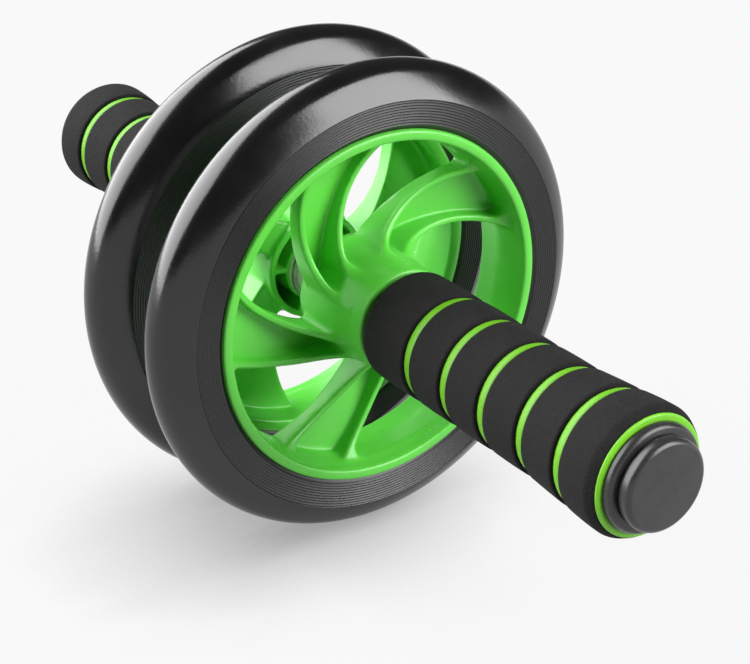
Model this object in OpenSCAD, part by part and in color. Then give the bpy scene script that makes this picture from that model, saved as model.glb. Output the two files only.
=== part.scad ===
// Double-wheel exercise roller: two spoked wheels turn freely on one axle, with a foam grip at each end.
// The axle lies along Y with its middle at the origin, +X is the way it rolls and +Z is up.
// A piece of a wheel is drawn with Z along the axle, pointing out, and Z = 0 at the wheel's middle plane.
// A piece of the axle, grip or cap is drawn with Z along the axle from the middle of the whole roller.

/* [Wheels] */
// Distance between the middle planes of the two wheels
wheel_spacing = 39.6; // [38:0.2:46]
// Width of a wheel over its two rim lips
wheel_w = 23.4; // [22:0.2:26]
// Turn of the right wheel about the axle, in degrees
right_turn = 32; // [0:1:72]
// Turn of the left wheel about the axle, in degrees
left_turn = 6; // [0:1:72]

/* [Tyre] */
// Diameter over the tread
tyre_d = 160; // [154:1:168]
// Height of the tyre from the rim lips to the tread
tyre_section = 20; // [19.5:0.5:24]
// Radius of the rounded crown
crown_r = 8.1; // [7:0.1:9.5]
// Depth of the bead that sits in the rim's channel
bead_h = 2.5; // [1.5:0.1:3]
// Width of the bead
bead_w = 17.4; // [14:0.2:18]
// Width of the open groove between the rim lip and the tyre's side
side_groove_w = 1.3; // [0.8:0.1:2]
// Depth of that groove
side_groove_depth = 1.2; // [0.6:0.1:2]
// How far the tyre's side lies below the rim lip
side_inset = 0.4; // [0.2:0.1:1]
// Number of fine rings moulded on the tyre's side
side_ring_count = 9; // [6:1:10]
// Distance from one fine ring to the next
side_ring_pitch = 0.9; // [0.7:0.05:1]
// Height of a fine ring
side_ring_h = 0.3; // [0.2:0.05:0.4]
// Height of the step from the side up to the tread's shoulder
shoulder_step = 0.3; // [0.1:0.1:0.5]

/* [Hub rim] */
// Radial width of a rim lip
lip_w = 3.6; // [3:0.1:4.4]
// Radius of a lip's rounded edge
lip_edge_r = 1.2; // [0.6:0.1:1.5]
// Distance from the barrel's parting line to the top of the rim lips
rim_h = 4.8; // [4.4:0.1:5.4]

/* [Hub spokes] */
// Number of spokes
spoke_count = 5; // [4:1:6]
// Angle between the two ribs of one spoke
spoke_angle = 27; // [23:0.5:30]
// Thickness of a rib
rib_t = 2.3; // [1.6:0.1:3]
// Radius of the arc that a rib follows
swirl_r = 59.3; // [56:0.1:63]
// Radius of the ring round the axle that the arcs' centres lie on
swirl_centre_r = 49.8; // [47:0.1:53]
// Radius of a window's corner between a rib's concave side and the boss
window_sharp_r = 2.6; // [1.5:0.1:3.5]
// Radius of a window's corner between a rib's convex side and the boss
window_blunt_r = 8; // [4:0.5:9]
// Radius of a channel's corner between a rib's concave side and the boss
channel_sharp_r = 1.6; // [1:0.1:2]
// Radius of a channel's corner between a rib's convex side and the boss
channel_blunt_r = 3; // [2:0.5:4]
// Radius of the corners where the ribs meet the barrel
rib_end_r = 3; // [1.5:0.5:4]
// Radius of the dish that the rib tops follow
dish_r = 32.3; // [31:0.1:36]
// Distance from the axle to the dish's lowest ring
dish_low_r = 38; // [36:0.5:40]
// Depth of that ring below the rim lip
dish_depth = 10.5; // [9:0.1:11.5]
// Depth of the channel floor below the rim lip, at the barrel
floor_depth_out = 12.8; // [12.2:0.1:13.6]
// Depth of the channel floor below the rim lip, at the boss
floor_depth_in = 17.6; // [16.5:0.1:18.4]
// Thickness of the channel floor, measured along the axle
floor_t = 2; // [1.6:0.1:2.6]

/* [Hub boss] */
// Diameter of the boss at its outer face
boss_d = 35.2; // [34:0.2:36]
// Diameter of the boss at its foot
boss_foot_d = 36.6; // [36:0.2:37.4]
// Radius of the flare where the rib tops run up the boss
bell_r = 13.5; // [8:0.5:16]
// How far the boss stands proud of the rim lip
boss_proud = 10.8; // [8:0.2:13]
// How far the boss's back face lies below the rim's back
boss_back_inset = 0.7; // [0.3:0.1:1.5]
// Radius of the boss's rounded front edge
boss_edge_r = 1.2; // [0.5:0.1:1.8]
// Wall of the boss outside its coring pockets
boss_wall = 2.2; // [1.8:0.1:2.4]
// Wall of the tube that holds the bushes
bush_tube_wall = 2.8; // [2.4:0.1:3]
// Thickness of the boss's front wall in front of the coring pockets
boss_front_wall = 5; // [4:0.5:8]
// Thickness of the webs between the coring pockets
core_web_t = 1.6; // [1.2:0.1:2.4]

/* [Bushes and washers] */
// Outside diameter of a bush's sleeve
bush_d = 18; // [17:0.2:18.6]
// Length of a bush's sleeve
bush_len = 12; // [8:0.5:14]
// Diameter of a bush's flange
bush_flange_d = 22; // [21:0.2:23]
// Thickness of a bush's flange
bush_flange_t = 1.5; // [1:0.1:2]
// Diameter of the clearance bore between the two bushes of a hub
mid_bore_d = 14; // [13:0.5:16]
// Outside diameter of a thrust washer
thrust_washer_d = 22; // [21:0.2:23]
// Thickness of a thrust washer
thrust_washer_t = 1; // [0.8:0.1:1.4]
// Outside diameter of the spacer between the wheels
spacer_d = 19; // [17:0.5:22]

/* [Axle] */
// Diameter of the axle rod
axle_d = 12; // [11:0.5:12.5]
// Depth of a retaining ring's groove in the axle
ring_groove_depth = 0.5; // [0.3:0.1:0.8]
// Thickness of a retaining ring
ring_t = 1; // [0.8:0.1:1.2]
// Radial width of a retaining ring
ring_w = 2.4; // [2:0.1:2.8]
// Opening of a retaining ring, in degrees
ring_opening = 70; // [40:5:90]
// Thread diameter of the end screws
screw_d = 6; // [5:0.5:6.5]
// Depth of the tapped hole in each end of the axle
tapped_depth = 18; // [16:1:24]
// Bevel on the axle's ends
axle_bevel = 0.8; // [0.4:0.1:1.2]

/* [Grips] */
// Length of a grip's foam
grip_len = 113.8; // [100:0.2:130]
// Diameter over the foam
grip_d = 38; // [37:0.2:40]
// Number of foam bands on a grip
band_count = 6; // [4:1:6]
// Length of every foam band but the innermost
band_len = 15.2; // [12:0.1:16]
// Width of the open groove between two bands
band_gap = 3.1; // [2.4:0.1:4]
// Thickness of the foam bands over the coloured liner
band_t = 0.75; // [0.7:0.05:2]
// Radius of a band's rounded edges
band_edge_r = 0.6; // [0.3:0.1:0.7]
// Radius of the foam's rounded end next to the wheel
band_nose_r = 3; // [1.5:0.5:3]
// Thickness of the innermost band's end wall
band_end_wall = 1.5; // [1:0.1:2.5]
// Outside diameter of the grip's core tube
core_d = 25; // [24.4:0.2:27]
// Thickness of the core's end flange
core_flange_t = 0.8; // [0.8:0.1:2]
// How much smaller than the foam the core's end flange is, all round
core_flange_inset = 0.2; // [0:0.1:0.6]
// Radius of the core's end flange's rounded edge
core_flange_edge_r = 0.6; // [0.3:0.1:0.7]
// Diameter of the chamber for the end screw
chamber_d = 21.8; // [21:0.2:22]
// Depth of that chamber
chamber_depth = 19; // [17:0.5:22]

/* [End screws and caps] */
// Diameter of an end screw's head
screw_head_d = 10.5; // [9:0.5:11]
// Height of an end screw's head
screw_head_h = 3.3; // [2.5:0.1:4]
// Width across the flats of the socket in the head
socket_w = 4; // [3:0.5:5]
// Depth of that socket
socket_depth = 2; // [1.5:0.1:2.3]
// Length of an end screw under its head
screw_len = 16; // [12:0.5:17]
// Diameter of an end washer
end_washer_d = 19; // [17:0.5:20]
// Thickness of an end washer
end_washer_t = 1.6; // [1.2:0.1:2]
// Diameter of the cap's flange
cap_flange_d = 34; // [32:0.5:36]
// Thickness of the cap's flange
cap_flange_t = 3; // [2.4:0.1:3.6]
// Radius of the flange's rounded edge
cap_flange_edge_r = 1; // [0.6:0.1:1.4]
// Radius of the flange's rounded foot
cap_flange_foot_r = 0.5; // [0.2:0.1:0.8]
// Diameter of the neck between the flange and the button
cap_neck_d = 26.8; // [25:0.2:27.4]
// Length of that neck
cap_neck_len = 0.7; // [0.5:0.1:1.4]
// Diameter of the cap's button
cap_button_d = 28.2; // [27.8:0.2:30]
// Thickness of the cap's button
cap_button_t = 3.9; // [3:0.1:5]
// Radius of the button's rounded edge
cap_button_edge_r = 1.1; // [0.6:0.1:1.8]
// Length of the cap's plug
cap_plug_len = 8; // [5:0.5:9]
// Wall of the cap's plug
cap_plug_wall = 1.8; // [1.2:0.1:2.4]

/* [Fits] */
// Radial clearance of the bushes on the axle
running_fit = 0.05; // [0.02:0.01:0.1]
// Radial clearance of loose rings, cores and screws on what they go over
loose_fit = 0.05; // [0.02:0.01:0.1]
// Axial gap at each thrust face
thrust_gap = 0.3; // [0.2:0.05:0.4]
// Axial gap between a retaining ring and the core around it
core_gap = 0.1; // [0.05:0.05:0.2]
// Gap between the axle's end and the washer that holds the core
end_gap = 0.3; // [0.1:0.1:0.6]

/* [Hidden] */
$fn = 96;
eps = 0.01;
bite = 0.03;
over = 1;
SIDES = [["right", 0, right_turn], ["left", 180, left_turn]];

hub_color = [0.33, 0.78, 0.25];
tyre_color = [0.09, 0.09, 0.1];
foam_color = [0.17, 0.17, 0.18];
liner_color = [0.42, 0.8, 0.16];
cap_color = [0.2, 0.2, 0.22];
bush_color = [0.92, 0.91, 0.87];
steel_color = [0.72, 0.73, 0.75];

// Wheel frame
face_z = wheel_w / 2;
tread_r = tyre_d / 2;
rim_r = tread_r - tyre_section;
lip_in_r = rim_r - lip_w;
barrel_r = rim_r - rim_h;
web_r = barrel_r + lip_edge_r / 2;
seat_r = rim_r - bead_h;
crown_centre = [tread_r - crown_r, 0];
side_z = face_z - side_inset;
side_start_r = rim_r + side_groove_w;
shoulder_r = side_start_r + side_ring_count * side_ring_pitch;
shoulder_z = side_z + shoulder_step;
boss_face_z = face_z + boss_proud;
boss_back_z = boss_back_inset - face_z;
bush_r = bush_d / 2;
axle_r = axle_d / 2;
half_spoke = spoke_angle / 2;
dish_z = face_z - dish_depth + dish_r;
bell_reach = boss_d / 2 + bell_r;
bell_centre = [bell_reach, dish_z - sqrt(pow(dish_r - bell_r + bite, 2) - pow(dish_low_r - bell_reach, 2))];
bell_end_r = dish_low_r - dish_r * (dish_low_r - bell_reach) / (dish_r - bell_r);
space_in_r = (boss_d + boss_foot_d) / 4;

// Stations along the axle, from the middle of the roller
mid_z = wheel_spacing / 2;
spacer_end_z = mid_z + boss_back_z - bush_flange_t - thrust_gap - thrust_washer_t;
outer_washer_z = mid_z + boss_face_z + thrust_gap;
ring_z = outer_washer_z + thrust_washer_t;
core_z = ring_z + core_gap;
foam_end_z = core_z + grip_len;
core_end_z = foam_end_z + core_flange_t;
chamber_z = core_end_z - chamber_depth;
axle_end_z = chamber_z - end_gap;
liner_r = grip_d / 2 - band_t;
grip_r = grip_d / 2;
core_r = core_d / 2;
ring_in_r = axle_r - ring_groove_depth + loose_fit;
ring_out_r = ring_in_r + ring_w;

function polar(r, a) = [r * cos(a), r * sin(a)];
function unit(v) = v / norm(v);
function swirl_centre(a) = polar(swirl_centre_r, a);

// Where circles of radius m round p and of radius n round q cross, on the side of that line that turn gives
function crossing(p, m, q, n, turn) =
    let (
        d = norm(q - p),
        u = unit(q - p),
        along = (m * m - n * n + d * d) / (2 * d),
        across = sqrt(m * m - along * along)
    )
    p + along * u + turn * across * [-u[1], u[0]];

// Takes the corner at [r, z] off a lathe profile: out is 1 at an outer wall, -1 in a bore, up is 1 at a top end
module round_corner(r, z, edge_r, out, up) {
    centre = [r - out * edge_r, z - up * edge_r];
    difference() {
        translate(centre + [out > 0 ? 0 : -edge_r - over, up > 0 ? 0 : -edge_r - over]) square(edge_r + over);
        translate(centre) circle(edge_r);
    }
}

// Lathe profile of a ring whose outer corners are rounded by edge0_r at z0 and edge1_r at z1
module ring_profile(in_r, out_r, z0, z1, edge0_r, edge1_r) {
    difference() {
        translate([in_r, z0]) square([out_r - in_r, z1 - z0]);
        if (edge0_r > 0) round_corner(out_r, z0, edge0_r, 1, -1);
        if (edge1_r > 0) round_corner(out_r, z1, edge1_r, 1, 1);
    }
}

module tube(in_r, out_r, z0, z1) {
    translate([0, 0, z0]) difference() {
        cylinder(h = z1 - z0, r = out_r);
        translate([0, 0, -over]) cylinder(h = z1 - z0 + 2 * over, r = in_r);
    }
}

// What a fillet of radius r round c leaves standing in a corner, between its touching points p and q.
// Its circle runs a little way into both walls, so that it crosses them and doesn't only touch.
module corner_fill(c, r, p, q, corner) {
    difference() {
        polygon([c, c + 1.1 * (p - c), c + 1.2 * (corner - c), c + 1.1 * (q - c)]);
        translate(c) circle(r + bite);
    }
}

// Flat outline of the space between the rib arc at angle a and the next one anticlockwise, at angle b
module swirl_space(a, b, blunt_r, sharp_r) {
    p = swirl_centre(a);
    q = swirl_centre(b);
    axis = [0, 0];
    outer_r = swirl_r + rib_t / 2;
    inner_r = swirl_r - rib_t / 2;
    fills = [
        [blunt_r, space_in_r, space_in_r + blunt_r, p, outer_r, outer_r + blunt_r],
        [sharp_r, space_in_r, space_in_r + sharp_r, q, inner_r, inner_r - sharp_r],
        [rib_end_r, web_r, web_r - rib_end_r, p, outer_r, outer_r + rib_end_r],
        [rib_end_r, web_r, web_r - rib_end_r, q, inner_r, inner_r - rib_end_r]
    ];
    difference() {
        intersection() {
            circle(web_r);
            translate(q) circle(inner_r);
        }
        translate(p) circle(outer_r);
        circle(space_in_r);
        for (f = fills) {
            c = crossing(axis, f[2], f[3], f[5], 1);
            corner_fill(
                c, f[0], f[1] * unit(c), f[3] + f[4] * unit(c - f[3]), crossing(axis, f[1], f[3], f[4], 1)
            );
        }
    }
}

// Lathe profile of the rim: two rounded lips, the barrel and the channel that holds the tyre's bead
module rim_profile() {
    back_in_r = barrel_r + (lip_in_r - barrel_r) / 3;
    difference() {
        polygon([
            [barrel_r, 0],
            [lip_in_r, face_z],
            [rim_r, face_z],
            [rim_r, bead_w / 2],
            [seat_r, bead_w / 2],
            [seat_r, -bead_w / 2],
            [rim_r, -bead_w / 2],
            [rim_r, -face_z],
            [back_in_r, -face_z]
        ]);
        for (up = [-1, 1]) round_corner(rim_r, up * face_z, lip_edge_r, 1, up);
        round_corner(lip_in_r, face_z, lip_edge_r, -1, 1);
        round_corner(back_in_r, -face_z, lip_edge_r, -1, -1);
    }
}

// Lathe profile of all that lies between the spokes' backs and the dish of the rib tops
module web_profile() {
    in_r = bush_r;
    back_in = face_z - floor_depth_in - floor_t;
    back_out = face_z - floor_depth_out - floor_t;
    difference() {
        polygon([
            [in_r, back_in],
            [space_in_r, back_in],
            [web_r, back_out],
            [web_r, face_z - lip_edge_r],
            [in_r, face_z - lip_edge_r]
        ]);
        translate([dish_low_r, dish_z]) circle(dish_r);
    }
    difference() {
        translate([in_r, back_in]) square([bell_end_r - in_r, bell_centre[1] - back_in]);
        translate(bell_centre) circle(bell_r);
    }
}

// Lathe profile of the air above the channel floors
module channel_profile() {
    floor_in = face_z - floor_depth_in;
    floor_out = face_z - floor_depth_out;
    polygon([
        [bush_r, floor_in],
        [space_in_r, floor_in],
        [web_r, floor_out],
        [rim_r, floor_out],
        [rim_r, boss_face_z],
        [bush_r, boss_face_z]
    ]);
}

// The swirled web: its rib tops form a dish, its windows go right through, its channels stop at their floors
module spokes() {
    difference() {
        rotate_extrude() web_profile();
        for (i = [0 : spoke_count - 1]) rotate([0, 0, i * 360 / spoke_count]) {
            translate([0, 0, -wheel_w])
                linear_extrude(2 * wheel_w)
                    swirl_space(half_spoke, 360 / spoke_count - half_spoke, window_blunt_r, window_sharp_r);
            intersection() {
                translate([0, 0, -wheel_w])
                    linear_extrude(2 * wheel_w)
                        swirl_space(-half_spoke, half_spoke, channel_blunt_r, channel_sharp_r);
                rotate_extrude() channel_profile();
            }
        }
    }
}

module boss() {
    core_in_r = bush_r + bush_tube_wall;
    core_out_r = boss_foot_d / 2 - boss_wall;
    core_top_z = boss_face_z - boss_front_wall;
    difference() {
        union() {
            translate([0, 0, boss_back_z])
                cylinder(h = boss_face_z - boss_edge_r - boss_back_z, d1 = boss_foot_d, d2 = boss_d);
            rotate_extrude()
                ring_profile(0, boss_d / 2, boss_face_z - 2 * boss_edge_r, boss_face_z, 0, boss_edge_r);
        }
        difference() {
            tube(core_in_r, core_out_r, boss_back_z - over, core_top_z);
            for (i = [0 : spoke_count - 1]) rotate([0, 0, i * 360 / spoke_count])
                translate([0, -core_web_t / 2, boss_back_z - 2 * over])
                    cube([boss_d, core_web_t, core_top_z - boss_back_z + 2 * over]);
        }
    }
}

module hub(turn) {
    color(hub_color) rotate([0, 0, turn]) difference() {
        union() {
            rotate_extrude() rim_profile();
            spokes();
            boss();
        }
        translate([0, 0, boss_back_z - over]) cylinder(h = boss_face_z - boss_back_z + 2 * over, d = mid_bore_d);
        translate([0, 0, boss_back_z - over]) cylinder(h = bush_len + over, d = bush_d);
        translate([0, 0, boss_face_z - bush_flange_t - bush_len])
            cylinder(h = bush_len + bush_flange_t + over, d = bush_d);
        translate([0, 0, boss_face_z - bush_flange_t]) cylinder(h = bush_flange_t + over, d = bush_flange_d);
    }
}

// Lathe profile of the tyre's body: bead, open grooves, ringed sides and flat shoulders that taper to the crown
module tyre_profile() {
    reach = norm([shoulder_z, shoulder_r - crown_centre[0]]);
    lean = atan2(shoulder_r - crown_centre[0], shoulder_z) + acos(crown_r / reach);
    rings = [
        for (i = [0 : side_ring_count - 1], corner = [[0.2, 0], [0.5, side_ring_h], [0.8, 0]])
            [side_start_r + (i + corner[0]) * side_ring_pitch, side_z + corner[1]]
    ];
    half = concat(
        [
            [seat_r, bead_w / 2],
            [rim_r, bead_w / 2],
            [rim_r, side_z - side_groove_depth],
            [side_start_r, side_z]
        ],
        rings,
        [
            [shoulder_r, side_z],
            [shoulder_r, shoulder_z],
            crown_centre + (crown_r - eps) * [sin(lean), cos(lean)]
        ]
    );
    last = len(half) - 1;
    polygon(concat(half, [crown_centre], [for (i = [0 : last]) [half[last - i][0], -half[last - i][1]]]));
}

module tyre() {
    color(tyre_color) union() {
        rotate_extrude() tyre_profile();
        rotate_extrude() translate(crown_centre) circle(crown_r);
    }
}

// Flanged sleeve that a hub runs on, with its flange at z and its sleeve going the way of dir
module bush(z, dir) {
    color(bush_color) translate([0, 0, z]) mirror([0, 0, dir > 0 ? 0 : 1]) difference() {
        union() {
            cylinder(h = bush_flange_t, d = bush_flange_d);
            cylinder(h = bush_flange_t + bush_len, d = bush_d);
        }
        translate([0, 0, -over]) cylinder(h = bush_flange_t + bush_len + 2 * over, r = axle_r + running_fit);
    }
}

module inner_bush() {
    bush(boss_back_z - bush_flange_t, 1);
}

module outer_bush() {
    bush(boss_face_z, -1);
}

module axle_rod() {
    color(steel_color) difference() {
        union() {
            cylinder(h = 2 * (axle_end_z - axle_bevel), r = axle_r, center = true);
            for (s = [0, 1]) mirror([0, 0, s]) translate([0, 0, axle_end_z - axle_bevel])
                cylinder(h = axle_bevel, r1 = axle_r, r2 = axle_r - axle_bevel);
        }
        for (s = [0, 1]) mirror([0, 0, s]) {
            translate([0, 0, axle_end_z - tapped_depth]) cylinder(h = tapped_depth + over, d = screw_d);
            tube(axle_r - ring_groove_depth, axle_r + over, ring_z, ring_z + ring_t + core_gap);
        }
    }
}

module center_spacer() {
    color(bush_color) tube(axle_r + loose_fit, spacer_d / 2, -spacer_end_z, spacer_end_z);
}

module thrust_washer(z) {
    color(steel_color) tube(axle_r + loose_fit, thrust_washer_d / 2, z, z + thrust_washer_t);
}

// Open spring ring in the axle's groove, with a lug at each side of its opening
module retaining_ring() {
    lug_r = ring_w / 2;
    color(steel_color) translate([0, 0, ring_z]) difference() {
        union() {
            difference() {
                cylinder(h = ring_t, r = ring_out_r);
                translate([0, 0, -over]) linear_extrude(ring_t + 2 * over) polygon([
                    [0, 0],
                    polar(3 * ring_out_r, 90 - ring_opening / 2),
                    polar(3 * ring_out_r, 90 + ring_opening / 2)
                ]);
            }
            for (s = [-1, 1]) translate(polar(ring_in_r + lug_r, 90 + s * ring_opening / 2))
                cylinder(h = ring_t, r = lug_r);
        }
        translate([0, 0, -over]) cylinder(h = ring_t + 2 * over, r = ring_in_r);
    }
}

// Tube that fills the grip, with a coloured flange at its outer end
module grip_core() {
    color(liner_color) difference() {
        rotate_extrude() union() {
            translate([0, core_z]) square([core_r, core_end_z - core_z]);
            ring_profile(
                0, grip_r - core_flange_inset, foam_end_z, core_end_z, 0, core_flange_edge_r
            );
        }
        cylinder(h = core_end_z + over, r = axle_r + loose_fit);
        translate([0, 0, core_z - over]) cylinder(h = over + ring_t, r = ring_out_r + 2 * ring_groove_depth);
        translate([0, 0, chamber_z]) cylinder(h = chamber_depth + over, d = chamber_d);
    }
}

module foam_liner() {
    color(liner_color) tube(core_r, liner_r, core_z + band_end_wall, foam_end_z);
}

// Foam band number i, counted from the wheel outwards
module foam_band(i) {
    z1 = foam_end_z - (band_count - i) * (band_len + band_gap);
    z0 = i == 1 ? core_z : z1 - band_len;
    color(foam_color) rotate_extrude() difference() {
        ring_profile(core_r, grip_r, z0, z1, i == 1 ? band_nose_r : band_edge_r, band_edge_r);
        translate([0, i == 1 ? z0 + band_end_wall : z0 - over]) square([liner_r, z1 - z0 + 2 * over]);
    }
}

module end_washer() {
    color(steel_color) tube(screw_d / 2 + loose_fit, end_washer_d / 2, chamber_z, chamber_z + end_washer_t);
}

module end_screw() {
    seat_z = chamber_z + end_washer_t;
    color(steel_color) difference() {
        union() {
            translate([0, 0, seat_z - screw_len]) cylinder(h = screw_len + over, r = screw_d / 2 - loose_fit);
            rotate_extrude()
                ring_profile(0, screw_head_d / 2, seat_z, seat_z + screw_head_h, 0, screw_head_h / 3);
        }
        translate([0, 0, seat_z + screw_head_h - socket_depth])
            cylinder(h = socket_depth + over, d = socket_w / cos(30), $fn = 6);
    }
}

module end_cap() {
    plug_r = chamber_d / 2 - loose_fit;
    neck_z = core_end_z + cap_flange_t;
    button_z = neck_z + cap_neck_len;
    color(cap_color) difference() {
        union() {
            translate([0, 0, core_end_z - cap_plug_len]) cylinder(h = cap_plug_len + over, r = plug_r);
            rotate_extrude()
                ring_profile(0, cap_flange_d / 2, core_end_z, neck_z, cap_flange_foot_r, cap_flange_edge_r);
            translate([0, 0, neck_z - over]) cylinder(h = cap_neck_len + 2 * over, d = cap_neck_d);
            rotate_extrude()
                ring_profile(0, cap_button_d / 2, button_z, button_z + cap_button_t, 0, cap_button_edge_r);
        }
        translate([0, 0, core_end_z - cap_plug_len - over])
            cylinder(h = cap_plug_len + over, r = plug_r - cap_plug_wall);
    }
}

// Lays a piece that is drawn along Z onto the axle, pointing right (-Y) or left (+Y)
module along_axle(side_turn) {
    rotate([90, 0, side_turn]) children();
}

module at_wheel(side_turn) {
    along_axle(side_turn) translate([0, 0, mid_z]) children();
}

along_axle(0) axle_rod();
along_axle(0) center_spacer();
for (s = SIDES) {
    at_wheel(s[1]) hub(s[2]);
    at_wheel(s[1]) tyre();
    at_wheel(s[1]) inner_bush();
    at_wheel(s[1]) outer_bush();
    along_axle(s[1]) thrust_washer(spacer_end_z);
    along_axle(s[1]) thrust_washer(outer_washer_z);
    along_axle(s[1]) retaining_ring();
    along_axle(s[1]) grip_core();
    along_axle(s[1]) foam_liner();
    along_axle(s[1]) end_washer();
    along_axle(s[1]) end_screw();
    along_axle(s[1]) end_cap();
    for (i = [1 : band_count])
        along_axle(s[1]) foam_band(i);
}
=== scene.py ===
"""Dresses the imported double-wheel roller: hubs, tyres, foam grips, caps, finishes and a small studio.

The axle lies along Y with its middle at the origin. A piece of a wheel, grip or cap is drawn with Z along the
axle, pointing out, and is then laid onto its side of the roller. Sizes are in metres, apart from the hub's,
which are in millimetres.
"""

import math
from types import SimpleNamespace

import bpy
import numpy as np
import openvdb
from bpy.props import FloatProperty, FloatVectorProperty, IntProperty, PointerProperty
from mathutils import Matrix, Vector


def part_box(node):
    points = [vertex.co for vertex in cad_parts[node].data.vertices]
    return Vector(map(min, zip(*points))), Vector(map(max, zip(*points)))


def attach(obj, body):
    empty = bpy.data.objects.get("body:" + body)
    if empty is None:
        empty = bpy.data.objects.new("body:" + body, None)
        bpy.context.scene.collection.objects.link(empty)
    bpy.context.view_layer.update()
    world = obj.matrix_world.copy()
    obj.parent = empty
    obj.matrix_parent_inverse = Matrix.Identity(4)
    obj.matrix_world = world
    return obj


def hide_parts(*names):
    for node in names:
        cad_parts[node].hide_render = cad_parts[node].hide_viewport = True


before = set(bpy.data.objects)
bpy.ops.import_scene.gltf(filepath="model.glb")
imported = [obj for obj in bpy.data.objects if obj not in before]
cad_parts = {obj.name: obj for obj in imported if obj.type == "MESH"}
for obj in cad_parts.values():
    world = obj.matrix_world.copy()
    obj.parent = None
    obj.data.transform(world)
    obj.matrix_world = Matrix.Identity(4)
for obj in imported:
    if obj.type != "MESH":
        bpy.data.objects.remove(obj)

bl_info = {
    "name": "Exercise roller",
    "version": (1, 0, 0),
    "blender": (4, 5, 0),
    "location": "3D View > Sidebar > Roller",
    "description": "Builds the looks of a double-wheel exercise roller round its packed solids",
    "category": "Object",
}

MM = 0.001
TAU = 2 * math.pi
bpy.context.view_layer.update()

# Turn of each side about Z, and turn of its wheel about the axle, in degrees
SIDES = {"right": (0, 32), "left": (180, 6)}


def reach(node):
    """Farthest that a CAD node gets from the middle of the roller along the axle."""
    return max(abs(corner.y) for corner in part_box(node))


def start(node):
    """Nearest that a CAD node gets to the middle of the roller along the axle."""
    return min(abs(corner.y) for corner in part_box(node))


def radius(node):
    """Radius of a round CAD node."""
    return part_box(node)[1].x


# Along the axle: where a grip's foam starts and ends, and the gaps between its bands
BANDS = 6
FOAM_START, FOAM_END = start("right_foam_band_1"), reach("right_foam_liner")
BAND_GAPS = [(reach(f"right_foam_band_{i}"), start(f"right_foam_band_{i + 1}")) for i in range(1, BANDS)]

# Core of a grip, the chamber at its outer end, and the fit of what goes into or over it
CORE_R = 12.5 * MM
CORE_BORE_R = 6.05 * MM
CORE_EDGE_R = 0.6 * MM
CHAMBER_R = 10.9 * MM
CHAMBER_DEPTH = 19 * MM
LOOSE_FIT = 0.05 * MM

# Lathe: steps round a tyre and round a piece of a grip, radii that their profiles are drawn from, and the
# distance within which points are joined
TYRE_STEPS, GRIP_STEPS = 320, 128
TYRE_CENTRE_R, GRIP_CENTRE_R = 70 * MM, 30 * MM
JOIN_DISTANCE = 1e-6

# Camera: its place, its right, up and back, and the shift that frames the roller
CAMERA_PLACE = (-0.3475, -0.5311, 0.2964)
CAMERA_AXES = ((0.8245, -0.5659, 0), (0.2416, 0.3520, 0.9043), (-0.5117, -0.7455, 0.4269))
CAMERA_SHIFT = (0.0013, -0.064)

# Stage: radius of the floor, number of its sides, and how far the lamps stand from the roller
FLOOR_R, FLOOR_SIDES = 20, 96
LAMP_DISTANCE = 2.2


# Settings


class RollerWheelSettings(bpy.types.PropertyGroup):
    tread_r: FloatProperty(
        name="Tread radius", description="Radius over the tread", default=radius("right_tyre"), unit="LENGTH"
    )
    crown_r: FloatProperty(
        name="Crown radius", description="Radius of the rounded crown", default=8.1 * MM, unit="LENGTH"
    )
    ring_count: IntProperty(
        name="Fine rings", description="Number of fine rings moulded on the tyre's side", default=9, min=0,
        max=12,
    )
    ring_pitch: FloatProperty(
        name="Ring pitch", description="Distance from one fine ring to the next", default=0.9 * MM,
        unit="LENGTH",
    )
    ring_h: FloatProperty(
        name="Ring height", description="Height of a fine ring", default=0.3 * MM, unit="LENGTH"
    )
    rib_t: FloatProperty(
        name="Rib thickness", description="Thickness of a spoke's ribs", default=2.3 * MM, unit="LENGTH"
    )
    rib_edge_r: FloatProperty(
        name="Rib edge radius", description="Rounding of the rib tops", default=0.8 * MM, unit="LENGTH"
    )
    rib_foot_r: FloatProperty(
        name="Rib foot radius", description="Fillet where a rib meets the channel floor", default=1.0 * MM,
        unit="LENGTH",
    )
    joint_r: FloatProperty(
        name="Rim fillet", description="Fillet where the spokes meet the rim", default=1.4 * MM, unit="LENGTH"
    )
    grid_step: FloatProperty(
        name="Grid step", description="Step of the distance grid that the hub is drawn on", default=0.5 * MM,
        unit="LENGTH", min=0.3 * MM,
    )


class RollerGripSettings(bpy.types.PropertyGroup):
    foam_r: FloatProperty(
        name="Foam radius", description="Radius over the foam bands before the flare",
        default=radius("right_foam_band_3") - 0.6 * MM, unit="LENGTH",
    )
    band_t: FloatProperty(
        name="Band thickness", description="How far a foam band stands over the coloured liner",
        default=1.35 * MM, unit="LENGTH",
    )
    gap_more: FloatProperty(
        name="Gap widening", description="How much wider a gap between bands is drawn at each side",
        default=0.25 * MM, unit="LENGTH",
    )
    flare: FloatProperty(
        name="Flare", description="How much the grip's radius grows towards its end", default=2.2 * MM,
        unit="LENGTH",
    )
    flare_len: FloatProperty(
        name="Flare length", description="Length over which the grip grows", default=40 * MM, unit="LENGTH"
    )
    end_draw: FloatProperty(
        name="End draw", description="How far the foam draws in at its outer end", default=1.3 * MM,
        unit="LENGTH",
    )
    band_edge_r: FloatProperty(
        name="Band edge radius", description="Rounding of a foam band's edges", default=0.9 * MM,
        unit="LENGTH",
    )
    band_crown: FloatProperty(
        name="Band crown", description="How much lower a foam band is at its ends than at its middle",
        default=0.12 * MM, unit="LENGTH",
    )
    bead: FloatProperty(
        name="Bead", description="How far the liner bulges out between two foam bands", default=0.45 * MM,
        unit="LENGTH",
    )
    nose_r: FloatProperty(
        name="Nose radius", description="Rounding of the foam's end next to the wheel", default=3 * MM,
        unit="LENGTH",
    )


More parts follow.
